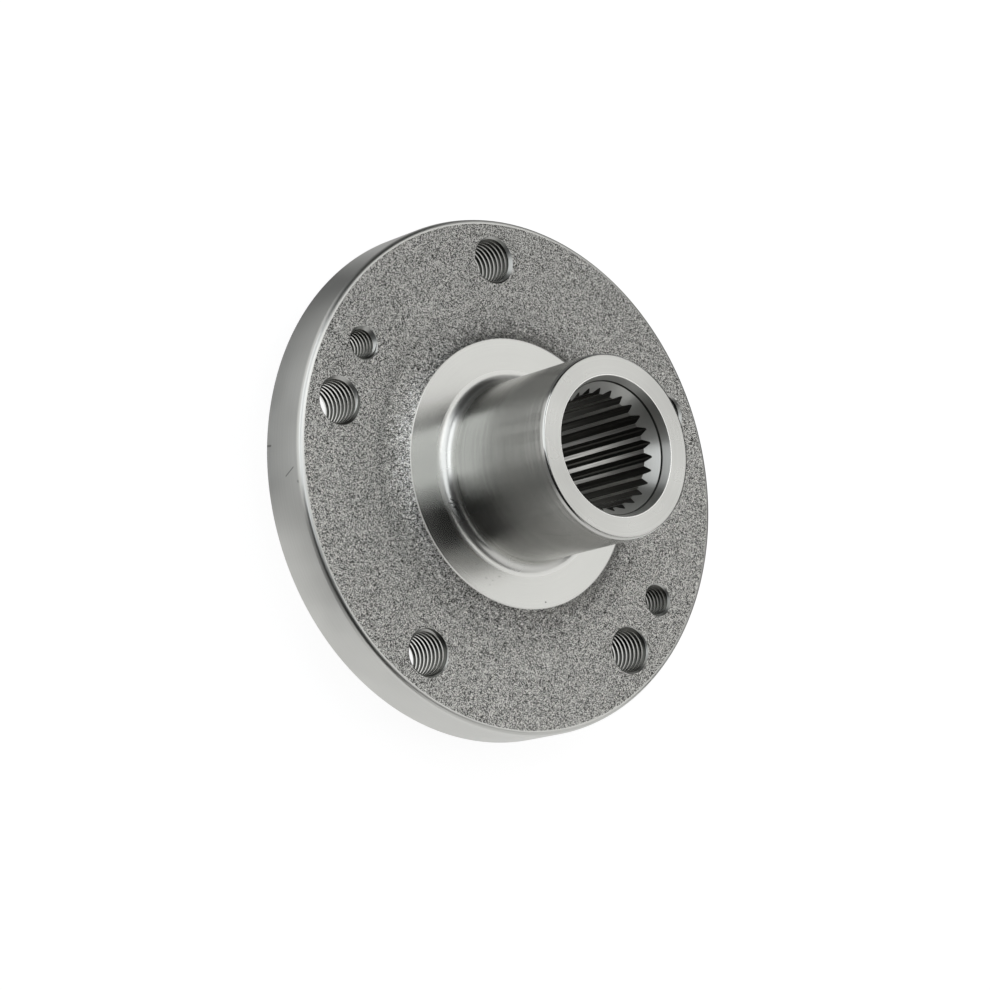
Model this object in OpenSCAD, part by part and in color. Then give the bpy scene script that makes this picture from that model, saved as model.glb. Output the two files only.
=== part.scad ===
// Front wheel hub: one machined steel forging with a drive flange, five
// tapped wheel bolt holes, two tapped disc screw holes, a bearing journal
// and a splined bore. Millimetres, the hub axis along Z. Height zero is
// the wheel and disc seat, and +Z points inboard, to the journal's nose.

/* [Flange] */
// Diameter of the turned rim
flange_d = 128.8; // [124:0.2:134]
// Thickness from the wheel seat to the forged inboard face
flange_t = 13.9; // [12:0.1:15.2]
// Width of the rounded inboard corner of the rim
rim_round_w = 1.3; // [0.5:0.1:2]
// Height of the rounded inboard corner of the rim
rim_round_h = 1.4; // [0.5:0.1:2.4]
// Chamfer at the outboard corner of the rim
rim_chamfer = 0.5; // [0.2:0.1:1.5]

/* [Bearing shoulder] */
// Diameter of the machined shoulder face
shoulder_d = 67.3; // [60:0.1:72]
// Height of the shoulder face above the wheel seat
shoulder_z = 16; // [14.8:0.1:19]
// Width of the forged fillet between the shoulder edge and the flange
flank_w = 4.5; // [3.5:0.1:6]

/* [Bearing journal] */
// Diameter of the ground journal
journal_d = 45; // [42:0.5:48]
// Height of the nose end above the wheel seat
nose_z = 52.6; // [46:0.2:62]
// Width of the rounded chamfer at the nose
nose_round_w = 0.8; // [0.3:0.1:1.6]
// Height of the rounded chamfer at the nose
nose_round_h = 1.2; // [0.4:0.1:2.4]
// Width of the fillet at the journal's root
root_w = 3.2; // [1:0.1:4.5]
// Height of the fillet at the journal's root
root_h = 3.1; // [1:0.1:5]

/* [Spline] */
// Number of teeth
spline_teeth = 27; // [25:1:28]
// Tooth module, the pitch diameter divided by the number of teeth
spline_module = 1.0583; // [1:0.0001:1.08]
// Pressure angle of the tooth flanks, degrees
spline_pressure = 45; // [40:1:45]
// Turn of the first tooth space from the X axis, degrees
spline_turn = -5.4; // [-6.5:0.1:6.5]
// Diameter of the bore's mouth in the nose face
mouth_d = 34.1; // [33.6:0.1:37]
// Diameter at the bottom of the mouth's tapered wall
mouth_floor_d = 32.6; // [31.8:0.1:33.4]
// Depth of the mouth's tapered wall
mouth_depth = 2.2; // [1:0.1:4]
// Width of the fine groove below the mouth's wall
groove_w = 0.25; // [0.15:0.05:0.4]
// Depth of that groove below the wall
groove_depth = 0.8; // [0.7:0.1:1.5]
// Full angle of the lead-in cone to the spline, degrees
lead_angle = 60; // [50:1:90]

/* [Outboard side] */
// Diameter of the spigot that centres the disc and the wheel
pilot_d = 60; // [56:0.1:66]
// Length of the spigot below the wheel seat
pilot_h = 11; // [8:0.5:16]
// Length of the spigot's tapered lead-in
pilot_lead_h = 3; // [1:0.5:5]
// Depth of the relief groove round the spigot's root
relief_depth = 0.8; // [0.4:0.1:1.5]
// Width of the relief groove
relief_w = 2.6; // [1.5:0.1:4]
// Diameter of the recess for the drive shaft nut
recess_d = 47; // [44:0.5:50]
// Height of the nut seat above the wheel seat
nut_seat_z = 5; // [2:0.5:8]
// Radius in the bottom corner of the nut recess
recess_r = 1.5; // [0.5:0.1:3]

/* [Wheel bolt holes] */
// Number of tapped holes for the wheel bolts
bolt_count = 5; // [4:1:6]
// Distance from the rim in to a wheel bolt's centre, 108 mm bolt circle
bolt_inset = 10.4; // [9.4:0.1:12]
// Tapping diameter, for a 12 x 1.5 mm thread
bolt_tap_d = 10.5; // [9:0.1:11.5]
// Countersink diameter on both faces
bolt_sink_d = 12; // [11.6:0.1:13]
// Direction of the first wheel bolt, degrees
bolt_turn = 90; // [0:1:90]

/* [Disc screw holes] */
// Distance from the rim in to a disc screw's centre
screw_inset = 11.6; // [9:0.1:14]
// Tapping diameter, for an 8 x 1.25 mm thread
screw_tap_d = 6.8; // [5.5:0.1:7.5]
// Countersink diameter on both faces
screw_sink_d = 8.4; // [7.7:0.1:9]

/* [Hidden] */
flange_r = flange_d / 2;
journal_r = journal_d / 2;
shoulder_r = shoulder_d / 2;
pilot_r = pilot_d / 2;
recess_rad = recess_d / 2;
mouth_r = mouth_d / 2;
mouth_floor_r = mouth_floor_d / 2;
// Small break on turned edges
edge = 0.3;
// Taper of the spigot's lead-in
pilot_lead_w = pilot_lead_h * tan(15);
// Height of the forged fillet, and the radius that joins it to the flange
flank_h = shoulder_z - flange_t;
flank_r = (flank_w * flank_w + flank_h * flank_h) / (2 * flank_h);
// Spline circles of an internal involute spline
pitch_r = spline_module * spline_teeth / 2;
base_r = pitch_r * cos(spline_pressure);
major_r = pitch_r + 0.6 * spline_module;
minor_r = pitch_r - 0.3 * spline_module;
lead_h = (mouth_floor_r - minor_r) / tan(lead_angle / 2);
spline_top = nose_z - mouth_depth;
// Groove between the mouth's wall and the cone, and the lip on its inner side
groove_r = mouth_floor_r - groove_w;
groove_floor_z = spline_top - groove_depth;
groove_lip_z = spline_top - groove_w / tan(lead_angle / 2);
// Hole circles, measured in from the rim
bolt_circle_r = flange_r - bolt_inset;
screw_circle_r = flange_r - screw_inset;
// Each disc screw sits three quarters of the way from one bolt to the next
bolt_step = 360 / bolt_count;
screw_turn = bolt_turn + 0.75 * bolt_step;
// Steps along a spline flank and along a rounded corner
flank_steps = 4;
corner_steps = 8;
overlap = 1;

$fn = 144;

// Points on part of an ellipse, from angle a0 to angle a1
function arc(centre, half_w, half_h, a0, a1) =
  [for (i = [0 : corner_steps])
    let (a = a0 + (a1 - a0) * i / corner_steps)
    [centre[0] + half_w * cos(a), centre[1] + half_h * sin(a)]];

// Involute function of an angle, in degrees
function involute(a) = tan(a) * 180 / PI - a;

// Half the angle of a tooth space at radius r, in degrees
function half_space(r) =
  90 / spline_teeth - involute(acos(base_r / r)) + involute(spline_pressure);

function polar(r, a) = [r * cos(a), r * sin(a)];

// Outboard contour: spigot, relief groove, wheel seat and rim
function outboard_side() =
  [[recess_rad + edge, -pilot_h],
   [pilot_r - pilot_lead_w, -pilot_h],
   [pilot_r, pilot_lead_h - pilot_h],
   [pilot_r, relief_depth],
   [pilot_r + relief_w - relief_depth, relief_depth],
   [pilot_r + relief_w, 0],
   [flange_r - rim_chamfer, 0],
   [flange_r, rim_chamfer]];

// Inboard contour: rim corner, forged face, shoulder, journal and nose
function inboard_side() = concat(
  arc([flange_r - rim_round_w, flange_t - rim_round_h],
      rim_round_w, rim_round_h, 0, 90),
  arc([shoulder_r + flank_w, flange_t + flank_r],
      flank_r, flank_r, 270, 270 - asin(flank_w / flank_r)),
  arc([journal_r + root_w, shoulder_z + root_h], root_w, root_h, 270, 180),
  arc([journal_r - nose_round_w, nose_z - nose_round_h],
      nose_round_w, nose_round_h, 0, 90));

// Contour of the bore, from the nose down to the recess for the nut
function bore_side() = concat(
  [[mouth_r, nose_z],
   [mouth_floor_r, spline_top],
   [mouth_floor_r, groove_floor_z],
   [groove_r, groove_floor_z],
   [groove_r, groove_lip_z],
   [minor_r, spline_top - lead_h],
   [minor_r, nut_seat_z + major_r + edge - minor_r],
   [major_r + edge, nut_seat_z]],
  arc([recess_rad - recess_r, nut_seat_z - recess_r],
      recess_r, recess_r, 90, 0),
  [[recess_rad, edge - pilot_h]]);

// Solid of revolution, with the bore at the spline's inner diameter
module turned_body() {
  rotate_extrude()
    polygon(concat(outboard_side(), inboard_side(), bore_side()));
}

// Outline through every tooth space, open to the bore inside
module spline_outline() {
  inner_r = minor_r - 0.2;
  polygon([for (tooth = [0 : spline_teeth - 1])
    each concat(
      [for (i = [0 : flank_steps])
        let (r = inner_r + (major_r - inner_r) * i / flank_steps)
        polar(r, tooth * 360 / spline_teeth - half_space(r))],
      [for (i = [flank_steps : -1 : 0])
        let (r = inner_r + (major_r - inner_r) * i / flank_steps)
        polar(r, tooth * 360 / spline_teeth + half_space(r))])]);
}

module spline_cut() {
  rotate(spline_turn)
    translate([0, 0, nut_seat_z - overlap])
      linear_extrude(height = spline_top - nut_seat_z + overlap)
        spline_outline();
}

// Tapping hole right through the flange, countersunk at both faces
module tapped_hole(tap_d, sink_d) {
  sink_h = (sink_d - tap_d) / 2;
  translate([0, 0, -overlap])
    cylinder(d = tap_d, h = flange_t + 2 * overlap);
  translate([0, 0, flange_t - sink_h])
    cylinder(d1 = tap_d, d2 = sink_d + 2 * overlap, h = sink_h + overlap);
  translate([0, 0, -overlap])
    cylinder(d1 = sink_d + 2 * overlap, d2 = tap_d, h = sink_h + overlap);
}

module hub() {
  color("#a3a39f")
    difference() {
      turned_body();
      spline_cut();
      for (i = [0 : bolt_count - 1])
        rotate(bolt_turn + i * bolt_step)
          translate([bolt_circle_r, 0, 0])
            tapped_hole(bolt_tap_d, bolt_sink_d);
      for (side = [0, 180])
        rotate(screw_turn + side)
          translate([screw_circle_r, 0, 0])
            tapped_hole(screw_tap_d, screw_sink_d);
    }
}

hub();
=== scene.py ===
import math
from typing import NamedTuple

import bmesh
import bpy
from mathutils import Matrix, Vector


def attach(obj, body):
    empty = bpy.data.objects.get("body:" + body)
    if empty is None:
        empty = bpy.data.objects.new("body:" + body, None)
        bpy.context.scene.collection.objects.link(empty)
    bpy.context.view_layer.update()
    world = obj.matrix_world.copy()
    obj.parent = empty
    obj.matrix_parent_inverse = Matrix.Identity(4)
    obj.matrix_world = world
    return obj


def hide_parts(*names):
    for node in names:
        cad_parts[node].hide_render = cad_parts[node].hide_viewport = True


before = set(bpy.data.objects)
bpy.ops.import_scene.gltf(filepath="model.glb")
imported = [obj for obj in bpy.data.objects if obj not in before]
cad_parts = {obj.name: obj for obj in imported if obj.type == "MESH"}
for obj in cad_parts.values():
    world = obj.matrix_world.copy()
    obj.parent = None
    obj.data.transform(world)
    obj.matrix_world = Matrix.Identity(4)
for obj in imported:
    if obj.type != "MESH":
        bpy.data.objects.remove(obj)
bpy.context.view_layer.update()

MM = 0.001

# Sizes of the hub in millimetres, the same as in the part's source. Z runs
# towards the nose, from the face that the brake disc and wheel seat on.

# Flange. The leans of its turned corner's short steps are in degrees from the axis
FLANGE_R = 64.4
FLANGE_T = 13.9
RIM_ROUND_W = 1.3
RIM_ROUND_H = 1.4
RIM_CHAMFER = 0.5
RIM_LEANS = (14, 17, 21, 26, 33, 42, 52, 61, 68, 73, 77, 80, 83)

# Bearing shoulder, and the forged flank that leads up to it
SHOULDER_R = 33.65
SHOULDER_Z = 16.0
SHOULDER_BREAK_W = 0.3
SHOULDER_BREAK_H = 0.08
FLANK_W = 4.5

# Bearing journal, its root fillet and the leans of its broken nose edge
JOURNAL_R = 22.5
NOSE_Z = 52.6
NOSE_ROUND_W = 0.8
NOSE_ROUND_H = 1.2
NOSE_LEANS = (6, 9, 12, 15, 18, 22, 27, 35, 47, 61, 72, 79)
ROOT_W = 3.2
ROOT_H = 3.1

# Mouth of the bore, with a filed lip and a fine groove above the lead-in cone
MOUTH_R = 17.05
MOUTH_FLOOR_R = 16.3
MOUTH_DEPTH = 2.2
MOUTH_FLOOR_Z = NOSE_Z - MOUTH_DEPTH
LIP_W = 0.24
LIP_H = 0.08
GROOVE_W = 0.25
GROOVE_DEPTH = 0.8
LEAD_HALF_ANGLE = math.radians(30)

# Involute spline
TEETH = 27
MODULE = 1.0583
PRESSURE = math.radians(45)
SPLINE_TURN = math.radians(-5.4)
PITCH_R = MODULE * TEETH / 2
BASE_R = PITCH_R * math.cos(PRESSURE)
MAJOR_R = PITCH_R + 0.6 * MODULE
MINOR_R = PITCH_R - 0.3 * MODULE

# Centring spigot on the wheel's side, with its relief and the nut recess
PILOT_R = 30.0
PILOT_H = 11.0
PILOT_LEAD_H = 3.0
PILOT_LEAD_ANGLE = math.radians(15)
RELIEF_DEPTH = 0.8
RELIEF_W = 2.6
RECESS_R = 23.5
RECESS_CORNER = 1.5
NUT_SEAT_Z = 5.0
EDGE = 0.3


class Tapping(NamedTuple):
    """A ring of tapped holes; angles in degrees, steps along one turn of thread."""
    name: str
    circle_r: float
    angles: tuple
    tap_r: float
    sink_r: float
    major_r: float
    pitch: float
    steps: int


BOLTS = Tapping("bolt", circle_r=54.0, angles=tuple(90 + 72 * i for i in range(5)),
                tap_r=5.25, sink_r=6.0, major_r=6.0, pitch=1.5, steps=40)
SCREWS = Tapping("screw", circle_r=52.8, angles=(144, 324),
                 tap_r=3.4, sink_r=4.2, major_r=4.0, pitch=1.25, steps=32)

# Short straight left on a face or cylinder beside each turned corner
LAND = 0.1
# How far a tool runs out past the faces, and how far it starts inside the wall
OVERRUN = 2.0
THREAD_INSIDE = 0.25
BROACH_INSIDE = 0.3
# Steps of the mesh round the hub, round a drill and up a spline tooth
HUB_STEPS = 288
DRILL_STEPS = 72
TOOTH_STEPS = 6


# Shape of the hub

def arc(cx, cz, rx, rz, start, end, steps):
    """Points of an elliptical corner in the radius-height plane, angles in degrees."""
    out = []
    for i in range(steps + 1):
        a = math.radians(start + (end - start) * i / steps)
        out.append((cx + rx * math.cos(a), cz + rz * math.sin(a)))
    return out


def broken_corner(r, z, w, h, leans):
    """Turned corner from the cylinder at radius r up to the face at height z.

    Each short step leans in from the cylinder by so many degrees, and the
    first and last meet their neighbours at a fine edge.
    """
    path = [(0, 0)]
    for lean in leans:
        a = math.radians(lean)
        path.append((path[-1][0] - math.sin(a), path[-1][1] + math.cos(a)))
    kr, kz = -w / path[-1][0], h / path[-1][1]
    return [(r + x * kr, z - h + y * kz) for x, y in path]


def spigot_contour():
    return [(RECESS_R + EDGE, -PILOT_H),
            (PILOT_R - PILOT_LEAD_H * math.tan(PILOT_LEAD_ANGLE), -PILOT_H),
            (PILOT_R, PILOT_LEAD_H - PILOT_H),
            (PILOT_R, RELIEF_DEPTH),
            (PILOT_R + RELIEF_W - RELIEF_DEPTH, RELIEF_DEPTH),
            (PILOT_R + RELIEF_W, 0)]


def flange_contour():
    """From the seat round the rim and up the forged flank to the shoulder's edge."""
    flank_h = SHOULDER_Z - FLANGE_T
    flank_r = (FLANK_W ** 2 + flank_h ** 2) / (2 * flank_h)
    flank_end = 270 - math.degrees(math.asin(FLANK_W / flank_r))
    points = [(FLANGE_R - RIM_CHAMFER, 0),
              (FLANGE_R, RIM_CHAMFER),
              (FLANGE_R, FLANGE_T - RIM_ROUND_H - LAND)]
    points += broken_corner(FLANGE_R, FLANGE_T, RIM_ROUND_W, RIM_ROUND_H, RIM_LEANS)
    points += [(FLANGE_R - RIM_ROUND_W - LAND, FLANGE_T),
               (SHOULDER_R + FLANK_W + LAND, FLANGE_T)]
    # The shoulder's edge break takes the place of the flank's last point
    points += arc(SHOULDER_R + FLANK_W, FLANGE_T + flank_r,
                  flank_r, flank_r, 270, flank_end, 8)[:-1]
    points += [(SHOULDER_R + LAND / 2, SHOULDER_Z - SHOULDER_BREAK_H),
               (SHOULDER_R - SHOULDER_BREAK_W / 2, SHOULDER_Z - SHOULDER_BREAK_H / 4),
               (SHOULDER_R - SHOULDER_BREAK_W, SHOULDER_Z)]
    return points


def journal_contour():
    """From the shoulder through the root fillet to the nose."""
    points = [(JOURNAL_R + ROOT_W + LAND, SHOULDER_Z)]
    points += arc(JOURNAL_R + ROOT_W, SHOULDER_Z + ROOT_H, ROOT_W, ROOT_H, 270, 180, 16)
    points += [(JOURNAL_R, SHOULDER_Z + ROOT_H + LAND),
               (JOURNAL_R, NOSE_Z - NOSE_ROUND_H - LAND)]
    points += broken_corner(JOURNAL_R, NOSE_Z, NOSE_ROUND_W, NOSE_ROUND_H, NOSE_LEANS)
    points += [(JOURNAL_R - NOSE_ROUND_W - LAND, NOSE_Z)]
    return points


def bore_contour():
    """From the lip down the mouth, the groove, the cone and the nut recess."""
    slope = math.tan(LEAD_HALF_ANGLE)
    groove_r = MOUTH_FLOOR_R - GROOVE_W
    points = [(MOUTH_R + LIP_W, NOSE_Z)]
    points += arc(MOUTH_R + LIP_W, NOSE_Z - LIP_H, LIP_W, LIP_H, 95, 170, 8)
    points += [(MOUTH_FLOOR_R, MOUTH_FLOOR_Z),
               (MOUTH_FLOOR_R, MOUTH_FLOOR_Z - GROOVE_DEPTH),
               (groove_r, MOUTH_FLOOR_Z - GROOVE_DEPTH),
               (groove_r, MOUTH_FLOOR_Z - GROOVE_W / slope),
               (MINOR_R, MOUTH_FLOOR_Z - (MOUTH_FLOOR_R - MINOR_R) / slope),
               (MINOR_R, NUT_SEAT_Z + MAJOR_R + EDGE - MINOR_R),
               (MAJOR_R + EDGE, NUT_SEAT_Z)]
    points += arc(RECESS_R - RECESS_CORNER, NUT_SEAT_Z - RECESS_CORNER,
                  RECESS_CORNER, RECESS_CORNER, 90, 0, 12)
    points += [(RECESS_R, EDGE - PILOT_H)]
    return points


def new_object(name, bm):
    bmesh.ops.recalc_face_normals(bm, faces=bm.faces)
    mesh = bpy.data.meshes.new(name)
    bm.to_mesh(mesh)
    bm.free()
    obj = bpy.data.objects.new(name, mesh)
    bpy.context.collection.objects.link(obj)
    return obj


def turned(contour, steps, closed=False):
    """Turn a contour of (radius, height) points round the Z axis."""
    bm = bmesh.new()
    verts = [bm.verts.new((r * MM, 0, z * MM)) for r, z in contour]
    pairs = list(zip(verts, verts[1:]))
    if closed:
        pairs.append((verts[-1], verts[0]))
    edges = [bm.edges.new(p) for p in pairs]
    bmesh.ops.spin(bm, geom=verts + edges, cent=(0, 0, 0), axis=(0, 0, 1),
                   dvec=(0, 0, 0), angle=2 * math.pi, steps=steps,
                   use_merge=True, use_duplicate=False)
    bmesh.ops.remove_doubles(bm, verts=bm.verts, dist=1e-7)
    return bm


def drill(hole):
    """Drill with a countersink at both faces of the flange."""
    sink = hole.sink_r - hole.tap_r
    return turned([(0, -OVERRUN),
                   (hole.sink_r + OVERRUN, -OVERRUN),
                   (hole.tap_r, sink),
                   (hole.tap_r, FLANGE_T - sink),
                   (hole.sink_r + OVERRUN, FLANGE_T + OVERRUN),
                   (0, FLANGE_T + OVERRUN)], DRILL_STEPS)


def tap(hole):
    """Right-hand V ridge that a tap cuts, as one long spun profile."""
    inner = hole.tap_r - THREAD_INSIDE
    flat = hole.pitch / 16
    half = flat + (hole.major_r - inner) * math.tan(math.radians(30))
    section = [(inner, -half), (hole.major_r, -flat), (hole.major_r, flat), (inner, half)]
    count = int((FLANGE_T + 2 * OVERRUN) / hole.pitch * hole.steps)
    bm = bmesh.new()
    start = bm.faces.new([bm.verts.new((r * MM, 0, (z - OVERRUN) * MM)) for r, z in section])
    bmesh.ops.spin(bm, geom=[start], cent=(0, 0, 0), axis=(0, 0, 1),
                   dvec=(0, 0, hole.pitch * MM / hole.steps),
                   angle=2 * math.pi * count / hole.steps, steps=count,
                   use_merge=False, use_duplicate=False)
    return bm


def involute(a):
    return math.tan(a) - a


def half_space(r):
    """Half the angle of a tooth space at a radius."""
    return (math.pi / 2 / TEETH - involute(math.acos(min(1, BASE_R / r)))
            + involute(PRESSURE))


def spline_broach():
    """Broach outline through all tooth spaces, drawn along the bore."""
    bm = bmesh.new()
    bottom = NUT_SEAT_Z - 1
    inner = MINOR_R - BROACH_INSIDE
    radii = [inner + (MAJOR_R - inner) * i / TOOTH_STEPS for i in range(TOOTH_STEPS + 1)]
    verts = []
    for tooth in range(TEETH):
        mid = SPLINE_TURN + 2 * math.pi * tooth / TEETH
        for side, rs in ((-1, radii), (1, radii[::-1])):
            for r in rs:
                a = mid + side * half_space(r)
                verts.append(bm.verts.new((r * math.cos(a) * MM,
                                           r * math.sin(a) * MM, bottom * MM)))
    face = bm.faces.new(verts)
    grown = bmesh.ops.extrude_face_region(bm, geom=[face])
    moved = [g for g in grown["geom"] if isinstance(g, bmesh.types.BMVert)]
    bmesh.ops.translate(bm, verts=moved, vec=(0, 0, (MOUTH_FLOOR_Z - bottom) * MM))
    return bm


def placed(make, hole):
    """One cutter object that holds a copy of a tool at each hole of a ring."""
    out = bmesh.new()
    for angle in hole.angles:
        bm = make(hole)
        turn = Matrix.Rotation(math.radians(angle), 4, "Z")
        turn = turn @ Matrix.Translation((hole.circle_r * MM, 0, 0))
        bmesh.ops.transform(bm, matrix=turn, verts=bm.verts)
        spare = bpy.data.meshes.new("spare")
        bm.to_mesh(spare)
        bm.free()
        out.from_mesh(spare)
        bpy.data.meshes.remove(spare)
    return new_object(f"{hole.name}_{make.__name__}", out)


def cut(obj, cutter):
    mod = obj.modifiers.new("cut", "BOOLEAN")
    mod.operation = "DIFFERENCE"
    mod.solver = "MANIFOLD"
    mod.object = cutter
    dg = bpy.context.evaluated_depsgraph_get()
    mesh = bpy.data.meshes.new_from_object(obj.evaluated_get(dg))
    obj.modifiers.clear()
    old = obj.data
    obj.data = mesh
    bpy.data.meshes.remove(old)
    bpy.data.objects.remove(cutter)


def make_hub():
    contour = spigot_contour() + flange_contour() + journal_contour() + bore_contour()
    hub = new_object("hub_body", turned(contour, HUB_STEPS, closed=True))
    cut(hub, new_object("broach", spline_broach()))
    for make in (drill, tap):
        for hole in (BOLTS, SCREWS):
            cut(hub, placed(make, hole))
    return hub


# Which finish each face has

(FORGED, TURNED, NOSE, RIM, JOURNAL, CORNER, NOSE_EDGE, ROOT, LIP, MOUTH, GROOVE,
 COUNTERSUNK, DRILLED, TAPPED, BORED, BROACHED, SEAT) = range(17)

# How far a face's middle may lie off the size it is sorted by, in mm
NEAR = 0.01
# Height of a face's normal, without its sign: a wall's at most, a 45 degree
# cone's, a level face's at least, and a face's that is level to the last bit
WALL = 0.3
CONE = math.sqrt(0.5)
LEVEL = 0.999
QUITE_LEVEL = 0.99999
# Edges that turn by less than this are shaded smooth
SMOOTH_ANGLE = math.radians(11)


def hole_zone(x, y, upright):
    """Finish inside a tapped hole, or None outside it."""
    for hole in (BOLTS, SCREWS):
        for angle in hole.angles:
            a = math.radians(angle)
            d = math.hypot(x - hole.circle_r * math.cos(a), y - hole.circle_r * math.sin(a))
            if d < hole.sink_r + 5 * NEAR:
                if abs(upright - CONE) < 3 * NEAR:
                    return COUNTERSUNK
                on_crest = d < hole.tap_r + 2 * NEAR and upright < WALL
                return DRILLED if on_crest else TAPPED
    return None


def bore_zone(r, z, upright):
    """Finish in the spline and the groove above it, or None elsewhere."""
    if r < MAJOR_R + 5 * NEAR and NUT_SEAT_Z < z < MOUTH_FLOOR_Z and upright < WALL:
        return BORED if r < MINOR_R + NEAR else BROACHED
    groove_end = MOUTH_FLOOR_Z - GROOVE_DEPTH - GROOVE_W
    if MOUTH_FLOOR_R - GROOVE_W - NEAR < r < MOUTH_FLOOR_R + NEAR:
        return GROOVE if groove_end < z < MOUTH_FLOOR_Z else None
    return None


def outer_zone(r, z):
    """Finish on all that the lathe and the forging die made."""
    if z < RELIEF_DEPTH + 5 * NEAR:
        return SEAT
    if r > FLANGE_R - RIM_ROUND_W:
        return RIM if z < FLANGE_T - RIM_ROUND_H else CORNER
    if r > SHOULDER_R + LAND / 2 and z < SHOULDER_Z:
        return FORGED
    if r > SHOULDER_R - SHOULDER_BREAK_W:
        return CORNER
    if r > JOURNAL_R - NOSE_ROUND_W and z > NOSE_Z - NOSE_ROUND_H:
        return NOSE_EDGE
    if r > JOURNAL_R - NEAR:
        if z < SHOULDER_Z + ROOT_H:
            return ROOT if r < JOURNAL_R + ROOT_W else TURNED
        return JOURNAL
    if r > MINOR_R and z > SHOULDER_Z:
        if r > MOUTH_R + LIP_W:
            return NOSE
        return LIP if z > NOSE_Z - LIP_H else MOUTH
    return TURNED


def zone(centre, normal):
    """Which finish a face has, by its place on the hub."""
    x, y, z = (c / MM for c in centre)
    r = math.hypot(x, y)
    upright = abs(normal.z)
    on_flange_face = upright > LEVEL and (z < NEAR or z > FLANGE_T - NEAR)
    found = None if on_flange_face else hole_zone(x, y, upright)
    if found is None:
        found = bore_zone(r, z, upright)
    return outer_zone(r, z) if found is None else found


def sort_faces(hub):
    """Merge what the cuts left in pieces, and give each face its finish and shading."""
    bm = bmesh.new()
    bm.from_mesh(hub.data)
    bmesh.ops.remove_doubles(bm, verts=bm.verts, dist=2e-7)
    bmesh.ops.dissolve_degenerate(bm, edges=bm.edges, dist=1e-7)
    for f in bm.faces:
        f.smooth = abs(f.normal.z) < QUITE_LEVEL
        f.material_index = zone(f.calc_center_median(), f.normal)
    for e in bm.edges:
        e.smooth = e.calc_face_angle(0) < SMOOTH_ANGLE
    bm.to_mesh(hub.data)
    bm.free()


# Materials

def linear(code):
    """Linear colour from an sRGB hex code."""
    out = []
    for i in (0, 2, 4):
        c = int(code[i:i + 2], 16) / 255
        out.append(c / 12.92 if c <= 0.04045 else ((c + 0.055) / 1.055) ** 2.4)
    return (*out, 1)


def add(tree, kind, inputs=(), **settings):
    """Add a shader node with its settings, input values and links."""
    n = tree.nodes.new("ShaderNode" + kind)
    for key, value in settings.items():
        setattr(n, key, value)
    for key, value in dict(inputs).items():
        if isinstance(value, bpy.types.NodeSocket):
            tree.links.new(value, n.inputs[key])
        else:
            n.inputs[key].default_value = value
    return n


def steel(name, colour, roughness, spread=0.0):
    """Bare steel, its tree, its shader and its object coordinates.

    Turning and grinding marks run round the axis, so spread widens the
    reflection across them.
    """
    mat = bpy.data.materials.new(name)
    mat.use_nodes = True
    tree = mat.node_tree
    tree.nodes.clear()
    shader = add(tree, "BsdfPrincipled", {"Base Color": linear(colour),
                                          "Metallic": 1.0, "Roughness": roughness})
    if spread:
        around = add(tree, "Tangent", direction_type="RADIAL", axis="Z")
        shader.inputs["Anisotropic"].default_value = spread
        shader.inputs["Anisotropic Rotation"].default_value = 0.25
        tree.links.new(around.outputs[0], shader.inputs["Tangent"])
    add(tree, "OutputMaterial", {"Surface": shader.outputs[0]})
    at = add(tree, "TexCoord").outputs["Object"]
    return mat, tree, shader, at


def lathe_place(tree, at):
    """Distance from the axis, and the height's node."""
    part = add(tree, "SeparateXYZ", {0: at})
    flat = add(tree, "CombineXYZ", {0: part.outputs[0], 1: part.outputs[1]})
    radius = add(tree, "VectorMath", {0: flat.outputs[0]}, operation="LENGTH")
    return radius.outputs["Value"], part


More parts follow.
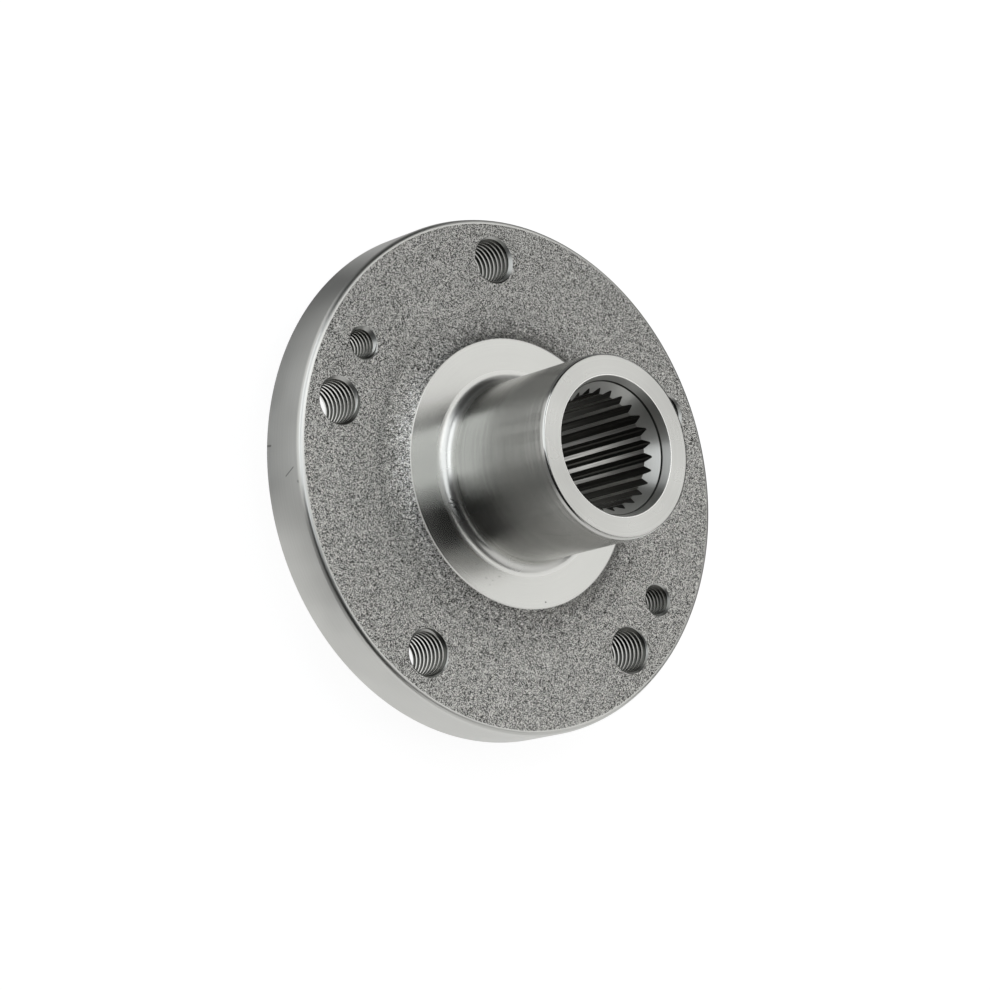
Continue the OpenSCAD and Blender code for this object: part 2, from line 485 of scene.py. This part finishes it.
def shot_blasted_forging():
    # Forging skin after shot blasting. Small dents, drawn about as fine as
    # the picture can show (0.17 mm from one to the next), are each lighter
    # or darker than their neighbours and give the salt-and-pepper grey.
    # Patches of the scale film, 1.4 mm wide, vary it slowly, and the relief
    # makes the skin dull.
    mat, tree, shader, at = steel("shot_blasted_forging", "8c8b87", 0.5)
    dents = add(tree, "TexVoronoi", {"Vector": at, "Scale": 1 / (0.17 * MM)})
    shade = add(tree, "SeparateColor", {0: dents.outputs["Color"]})
    patches = add(tree, "TexNoise", {"Vector": at, "Scale": 1 / (1.4 * MM), "Detail": 2})
    level = add(tree, "Math", {0: patches.outputs[0], 1: 0.3, 2: shade.outputs[0]},
                operation="MULTIPLY_ADD")
    tone = add(tree, "MapRange", {"Value": level.outputs[0], "From Min": 0.43,
                                  "From Max": 0.86, "To Min": 0, "To Max": 1})
    grey = add(tree, "Mix", {"Factor": tone.outputs[0], "A": linear("3c3b38"),
                             "B": linear("f2f1ec")}, data_type="RGBA")
    # Painted shade makes the flank beside the shoulder darker, and it is also shinier
    radius, part = lathe_place(tree, at)
    flank_painted_shade = add(tree, "MapRange", {"Value": radius, "From Min": 40.2 * MM,
                                   "From Max": 38.4 * MM, "To Min": 1.0, "To Max": 0.78})
    # and painted shade makes the skin a little darker towards +Y
    side = add(tree, "MapRange", {"Value": part.outputs[1], "From Min": 5 * MM,
                                  "From Max": 45 * MM, "To Min": 0.96, "To Max": 0.84})
    both = add(tree, "Math", {0: flank_painted_shade.outputs[0], 1: side.outputs[0]}, operation="MULTIPLY")
    # A soft ring of painted shade lies at the flank's foot
    foot = add(tree, "Math", {0: radius, 1: 41.2 * MM}, operation="SUBTRACT")
    foot = add(tree, "Math", {0: foot.outputs[0]}, operation="ABSOLUTE")
    foot = add(tree, "MapRange", {"Value": foot.outputs[0], "From Max": 2.0 * MM,
                                  "To Min": 0.84, "To Max": 1.0},
               interpolation_type="SMOOTHSTEP")
    both = add(tree, "Math", {0: both.outputs[0], 1: foot.outputs[0]}, operation="MULTIPLY")
    # The flank also keeps the coarser ridges of the die, 0.75 mm wide, with a painted highlight
    # on top
    ridges = add(tree, "TexNoise", {"Vector": at, "Scale": 1 / (0.75 * MM), "Detail": 2})
    kept = add(tree, "Math", {0: 1.0, 1: flank_painted_shade.outputs[0]}, operation="SUBTRACT")
    painted_light_and_shade = add(tree, "Math", {0: ridges.outputs[0], 1: 0.5}, operation="SUBTRACT")
    painted_light_and_shade = add(tree, "Math", {0: painted_light_and_shade.outputs[0], 1: kept.outputs[0]}, operation="MULTIPLY")
    painted_light_and_shade = add(tree, "Math", {0: painted_light_and_shade.outputs[0], 1: 8.0, 2: both.outputs[0]},
                operation="MULTIPLY_ADD")
    # and painted light makes it brighter on the -X side
    painted_light = add(tree, "VectorMath", {0: at, 1: (-0.978, 0.208, 0)}, operation="DOT_PRODUCT")
    painted_light = add(tree, "Math", {0: painted_light.outputs["Value"], 1: radius}, operation="DIVIDE")
    painted_light_minus_x = add(tree, "MapRange", {"Value": painted_light.outputs[0], "From Min": 0.8,
                                  "From Max": 0.97, "To Min": 0.0, "To Max": 1.2})
    painted_light_and_shade = add(tree, "Math", {0: kept.outputs[0], 1: painted_light_minus_x.outputs[0], 2: painted_light_and_shade.outputs[0]},
                operation="MULTIPLY_ADD")
    painted_light_and_shade = add(tree, "Math", {0: painted_light_and_shade.outputs[0], 1: 0.1}, operation="MAXIMUM")
    shade = add(tree, "VectorMath", {0: grey.outputs["Result"], "Scale": painted_light_and_shade.outputs[0]},
                operation="SCALE")
    tree.links.new(shade.outputs[0], shader.inputs["Base Color"])
    shine = add(tree, "Math", {0: kept.outputs[0], 1: -0.5, 2: 0.5}, operation="MULTIPLY_ADD")
    tree.links.new(shine.outputs[0], shader.inputs["Roughness"])
    fine = add(tree, "Bump", {"Strength": 1.0, "Distance": 0.08 * MM,
                              "Height": dents.outputs["Distance"]})
    height = add(tree, "Math", {0: ridges.outputs[0], 1: kept.outputs[0]}, operation="MULTIPLY")
    coarse = add(tree, "Bump", {"Strength": 1.0, "Distance": 0.6 * MM,
                                "Height": height.outputs[0], "Normal": fine.outputs[0]})
    tree.links.new(coarse.outputs[0], shader.inputs["Normal"])
    return mat


def scored(tree, at, value, marks):
    """Darken a level along scratches and nicks; each is (from, to, width, level), in mm."""
    for start, end, width, level in marks:
        a, span = Vector(start) * MM, (Vector(end) - Vector(start)) * MM
        away = add(tree, "VectorMath", {0: at, 1: a}, operation="SUBTRACT")
        part = add(tree, "VectorMath", {0: away.outputs[0], 1: span / span.length_squared},
                   operation="DOT_PRODUCT")
        part = add(tree, "Math", {0: part.outputs["Value"], 1: 1.0}, operation="MULTIPLY",
                   use_clamp=True)
        foot = add(tree, "VectorMath", {0: span, "Scale": part.outputs[0]}, operation="SCALE")
        off = add(tree, "VectorMath", {0: away.outputs[0], 1: foot.outputs[0]},
                  operation="DISTANCE")
        dark = add(tree, "MapRange", {"Value": off.outputs["Value"],
                                      "From Min": 0.3 * width * MM,
                                      "From Max": 0.7 * width * MM,
                                      "To Min": level, "To Max": 1.0})
        value = add(tree, "Math", {0: value, 1: dark.outputs[0]},
                    operation="MULTIPLY").outputs[0]
    return value


def varied(tree, shader, colour, value, low, high, at=None, marks=()):
    """Lighten and darken a colour by a pattern, from low to high, and by the marks."""
    level = add(tree, "MapRange", {"Value": value, "From Min": 0.25, "From Max": 0.75,
                                   "To Min": low, "To Max": high})
    shade = add(tree, "VectorMath", {0: linear(colour)[:3],
                                     "Scale": scored(tree, at, level.outputs[0], marks)},
                operation="SCALE")
    tree.links.new(shade.outputs[0], shader.inputs["Base Color"])


def lathe_finish(name, colour, roughness, spread, pitch=0.3, depth=0.003,
                 marks=(), contrast=0.04):
    """Turned or ground steel.

    Fine lines run round the axis, one pitch apart and so deep, both in mm.
    Wide faint smudges of oil film make the reflections softer and sharper
    from place to place.
    """
    mat, tree, shader, at = steel(name, colour, roughness, spread)
    radius, part = lathe_place(tree, at)
    along = add(tree, "Math", {0: radius, 1: part.outputs[2]}, operation="ADD")
    lines = add(tree, "TexNoise", {"W": along.outputs[0], "Scale": 1 / (pitch * MM),
                                   "Detail": 2}, noise_dimensions="1D")
    varied(tree, shader, colour, lines.outputs[0], 1 - contrast, 1 + contrast, at, marks)
    smudges = add(tree, "TexNoise", {"Vector": at, "Scale": 1 / (9 * MM), "Detail": 1})
    film = add(tree, "MapRange", {"Value": smudges.outputs[0], "From Min": 0.3,
                                  "From Max": 0.7, "To Min": roughness - 0.015,
                                  "To Max": roughness + 0.02})
    tree.links.new(film.outputs[0], shader.inputs["Roughness"])
    bump = add(tree, "Bump", {"Strength": 1.0, "Distance": depth * MM,
                              "Height": lines.outputs[0]})
    tree.links.new(bump.outputs[0], shader.inputs["Normal"])
    return mat


def bore_finish(name, colour, roughness):
    """Bored or broached steel, with fine streaks that run along the bore."""
    mat, tree, shader, at = steel(name, colour, roughness)
    drawn = add(tree, "VectorMath", {0: at, 1: (1, 1, 0.03)}, operation="MULTIPLY")
    streaks = add(tree, "TexNoise", {"Vector": drawn.outputs[0], "Scale": 1 / (0.4 * MM),
                                     "Detail": 3})
    varied(tree, shader, colour, streaks.outputs[0], 0.6, 1.3)
    return mat


def plain_steel(name, colour, roughness):
    return steel(name, colour, roughness)[0]


# Handling marks on the steel: from, to, width and how much light is left
RIM_MARKS = [((-63.9, 8.0, -1.2), (-63.9, 7.6, 2.0), 0.5, 0.45),
             ((-64.4, -0.7, 7.7), (-64.4, 0.9, 10.9), 0.3, 0.45),
             ((-64.35, -2.7, 12.2), (-64.3, -3.0, 12.9), 0.6, 0.6)]
FACE_MARKS = [((-13.9, -25.9, 16), (-13.6, -26.1, 16), 0.35, 0.8),
              ((-11.9, -26.6, 16), (-11.7, -26.6, 16), 0.3, 0.75),
              ((-9.7, -25.6, 16), (-9.4, -25.6, 16), 0.4, 0.8),
              ((-12.9, -27.6, 16), (-12.7, -27.7, 16), 0.3, 0.8),
              ((4.1, -31.9, 16), (4.3, -31.9, 16), 0.35, 0.4)]
JOURNAL_MARKS = [((-12.9, -18.4, 36.5), (-10.7, -19.8, 41.6), 0.4, 0.78),
                 ((-10.7, -19.8, 41.6), (-9.4, -20.5, 47.0), 0.4, 0.86)]
ROOT_MARKS = [((-22.9, -6.9, 16.6), (-22.2, -7.4, 16.9), 0.3, 0.25),
              ((-23.0, -7.9, 16.4), (-22.4, -8.1, 16.7), 0.35, 0.3),
              ((-22.1, -7.7, 17.1), (-21.6, -8.3, 17.3), 0.3, 0.3),
              ((-22.2, -8.9, 16.6), (-21.6, -8.8, 16.9), 0.35, 0.3),
              ((-21.4, -9.3, 17.0), (-21.2, -9.9, 17.0), 0.3, 0.4)]


def finishes():
    """The hub's materials by zone, in the order of the zones."""
    return {
        FORGED: shot_blasted_forging(),
        # Turned with a fine feed, so the shoulder's face mirrors the lamps softly
        TURNED: lathe_finish("face_turned_steel", "cacac6", 0.21, 0.9, marks=FACE_MARKS,
                             contrast=0.02),
        # The nose is a little duller, and looks an even pale grey
        NOSE: lathe_finish("nose_turned_steel", "c6c6c2", 0.28, 0.9),
        # A coarser cut on the rim gives broad, soft bands of light
        RIM: lathe_finish("rim_turned_steel", "cacac6", 0.33, 0.9, depth=0.004,
                          marks=RIM_MARKS),
        # Ground, so its light streaks along the journal. The grinding lines
        # are drawn wider apart than they are, to show at all
        JOURNAL: lathe_finish("ground_journal_steel", "c2c2be", 0.21, 0.92, pitch=1.0,
                              depth=0.004, marks=JOURNAL_MARKS, contrast=0.09),
        # Broken edges catch a lamp in one thin bright line
        CORNER: lathe_finish("corner_turned_steel", "cacac6", 0.3, 0.5, depth=0.002),
        NOSE_EDGE: lathe_finish("nose_edge_turned_steel", "bcbcb8", 0.18, 0.3, depth=0.002),
        # The form tool leaves the root fillet smooth, with two bright lines in it
        ROOT: lathe_finish("root_turned_steel", "d2d2ce", 0.28, 0.3, depth=0.002,
                           marks=ROOT_MARKS),
        # The bore's lip is painted lighter than the steel, a painted highlight that is the
        # brightest line of all
        LIP: plain_steel("lip_painted_highlight_steel", "e4e4e0", 0.2),
        # Turned with less care, so the mouth and its cone look satin
        MOUTH: lathe_finish("mouth_turned_steel", "d0d0cc", 0.38, 0.8),
        # The narrow groove is painted nearly black, as painted shade in it
        GROOVE: plain_steel("groove_painted_shade_steel", "62625e", 0.5),
        # The drill's cone leaves a soft grey ring round each hole
        COUNTERSUNK: plain_steel("countersunk_steel", "c0c0bc", 0.36),
        # Crests of the threads, where only the drill has cut, painted lighter as a painted
        # highlight
        DRILLED: plain_steel("drilled_crest_painted_highlight_steel", "e8e8e4", 0.36),
        # Flanks between them, cut by the tap, painted dark as painted shade inside the holes
        TAPPED: plain_steel("tapped_flank_painted_shade_steel", "565652", 0.33),
        # Tips of the spline's teeth, bored bright and a little streaked
        BORED: bore_finish("bored_steel", "cacac6", 0.28),
        # Flanks of the teeth, painted dark as painted shade between the teeth
        BROACHED: bore_finish("broached_flank_painted_shade_steel", "565652", 0.4),
        # The wheel's side, turned with a coarser feed
        SEAT: lathe_finish("seat_turned_steel", "c6c6c3", 0.3, 0.6, pitch=0.35, depth=0.004),
    }


hub = make_hub()
hub.data.materials.clear()
for mat in finishes().values():
    hub.data.materials.append(mat)
sort_faces(hub)
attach(hub, "root")
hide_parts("hub")

# Floor that the hub lies on, spigot down. Out to these distances from the
# axis its painted glow is set for what the bore, the tapped holes and the rim each mirror.
BORE_LIGHT_R = 40
HOLE_LIGHT_R = 63
RIM_LIGHT_R = 82
FAR_LIGHT_R = 96


def by_azimuth(tree, turn, stops):
    """Painted glow by direction from the hub; stops are (degrees, brightness)."""
    node = add(tree, "ValToRGB", {"Fac": turn})
    points = node.color_ramp.elements
    while len(points) < len(stops):
        points.new(0.5)
    for point, (angle, value) in zip(points, stops):
        point.position = angle / 360
        point.color = (value, value, value, 1)
    return node.outputs[0]


def white_floor_with_painted_glow():
    # White paper. It is white to the camera and keeps the hub's faint
    # shadow. To the metal it glows with painted light and painted shadow,
    # not with the softboxes' light: white on the near right and far left, a
    # painted shadow of grey in the hub's lee close to the rim, dark between
    # the lamps, and a painted glow under the bore and the holes. Its own
    # shade is grey, so that the lamps don't make it clip.
    mat = bpy.data.materials.new("white_floor_with_painted_glow")
    mat.use_nodes = True
    tree = mat.node_tree
    tree.nodes.clear()
    paper = add(tree, "BsdfDiffuse", {"Color": linear("7c7c7c")})
    path = add(tree, "LightPath")
    at = add(tree, "TexCoord").outputs["Object"]
    place = add(tree, "SeparateXYZ", {0: at})
    angle = add(tree, "Math", {0: place.outputs[1], 1: place.outputs[0]}, operation="ARCTAN2")
    turn = add(tree, "Math", {0: angle.outputs[0], 1: 1 / (2 * math.pi)}, operation="MULTIPLY")
    turn = add(tree, "Math", {0: turn.outputs[0]}, operation="FRACT").outputs[0]
    # Painted light and painted shadow for the metal, by direction: beside the rim, beyond it,
    # under the holes and under the bore
    beside_rim = by_azimuth(tree, turn, [
        (0, 0.05), (48, 0.13), (64, 0.42), (80, 0.5), (105, 0.55), (120, 0.08), (180, 0.12),
        (194, 0.9), (215, 1.0), (285, 0.76), (315, 0.2), (350, 0.05)])
    beyond = by_azimuth(tree, turn, [
        (0, 0.1), (120, 0.03), (130, 0.75), (180, 0.8), (190, 0.15), (212, 0.1),
        (236, 0.82), (340, 0.82), (355, 0.1)])
    below_bore = by_azimuth(tree, turn, [
        (0, 0.05), (110, 0.1), (124, 0.4), (150, 1.0), (200, 1.0), (225, 0.15), (340, 0.05)])
    below_holes = by_azimuth(tree, turn, [
        (0, 0.3), (80, 0.5), (110, 0.6), (145, 1.0), (250, 0.95), (300, 0.8), (350, 0.3)])
    radius = add(tree, "VectorMath", {0: at, 1: (0, 0, -PILOT_H * MM)},
                 operation="DISTANCE").outputs["Value"]
    far = add(tree, "MapRange", {"Value": radius, "From Min": RIM_LIGHT_R * MM,
                                 "From Max": FAR_LIGHT_R * MM},
              interpolation_type="SMOOTHSTEP")
    painted_light = add(tree, "Mix", {"Factor": far.outputs[0], "A": beside_rim, "B": beyond},
              data_type="RGBA")
    for reach, below in ((HOLE_LIGHT_R, below_holes), (BORE_LIGHT_R, below_bore)):
        inside = add(tree, "Math", {0: radius, 1: reach * MM}, operation="LESS_THAN")
        painted_light = add(tree, "Mix", {"Factor": inside.outputs[0], "A": painted_light.outputs["Result"],
                                "B": below}, data_type="RGBA")
    # Only the metal sees the painted glow; the camera sees an even white
    painted_glow_in_metal = add(tree, "Math", {0: path.outputs["Is Glossy Ray"],
                                  1: painted_light.outputs["Result"]}, operation="MULTIPLY")
    seen = add(tree, "Math", {0: path.outputs["Is Camera Ray"], 1: 0.9,
                              2: painted_glow_in_metal.outputs[0]}, operation="MULTIPLY_ADD")
    glow = add(tree, "Emission", {"Strength": seen.outputs[0]})
    both = add(tree, "AddShader", {0: paper.outputs[0], 1: glow.outputs[0]})
    add(tree, "OutputMaterial", {"Surface": both.outputs[0]})
    return mat


bm = bmesh.new()
bmesh.ops.create_grid(bm, x_segments=1, y_segments=1, size=4)
bmesh.ops.translate(bm, verts=bm.verts, vec=(0, 0, -PILOT_H * MM))
floor = new_object("floor", bm)
floor.data.materials.append(white_floor_with_painted_glow())

# Studio. The lamps stand this far from the hub, in metres
LAMP_AWAY = 1.3
COOL = (0.94, 0.97, 1.0)


def softbox(name, azimuth, elevation, width, height, strength, colour=(1, 1, 1)):
    """Soft lamp that faces the hub; strength is its brightness."""
    a, e = math.radians(azimuth), math.radians(elevation)
    away = Vector((math.cos(a) * math.cos(e), math.sin(a) * math.cos(e), math.sin(e)))
    data = bpy.data.lights.new(name, "AREA")
    data.shape = "RECTANGLE"
    data.size, data.size_y = width, height
    data.color = colour
    data.energy = strength * width * height * math.pi
    lamp = bpy.data.objects.new(name, data)
    lamp.visible_camera = False
    bpy.context.collection.objects.link(lamp)
    lamp.location = away * LAMP_AWAY
    lamp.rotation_mode = "QUATERNION"
    lamp.rotation_quaternion = away.to_track_quat("Z", "Y")


softbox("key_softbox", 17, 58, 1.56, 1.5, 1.11)
softbox("left_softbox", 148, 16, 1.42, 0.8, 1.74, COOL)
softbox("low_softbox", 300, 24, 1.9, 1.0, 0.79)
softbox("top_softbox", 142, 61, 1.3, 0.96, 1.48, COOL)
softbox("back_panel", 46, 15, 0.75, 0.6, 0.4)

# The room round the softboxes is dark in the metal and white to the camera
world = bpy.data.worlds.new("studio")
bpy.context.scene.world = world
world.use_nodes = True
tree = world.node_tree
tree.nodes.clear()
path = add(tree, "LightPath")
level = add(tree, "MapRange", {"Value": path.outputs["Is Camera Ray"],
                               "To Min": 0.01, "To Max": 1.0})
room = add(tree, "Background", {"Color": linear("ffffff"), "Strength": level.outputs[0]})
add(tree, "OutputWorld", {"Surface": room.outputs[0]})

# Camera at the photograph's place and lens; place in mm, turn in degrees
CAMERA_PLACE = (-531.3286, -127.2525, 652.5402)
CAMERA_TURN = (12.73187, -38.39555, -6.88821)
cam_data = bpy.data.cameras.new("camera")
cam_data.lens = 124.64
cam_data.sensor_width = 36
cam_data.clip_start, cam_data.clip_end = 0.01, 20
cam = bpy.data.objects.new("camera", cam_data)
bpy.context.collection.objects.link(cam)
cam.location = Vector(CAMERA_PLACE) * MM
cam.rotation_euler = [math.radians(a) for a in CAMERA_TURN]
bpy.context.scene.camera = cam
bpy.context.scene.view_settings.view_transform = "Standard"
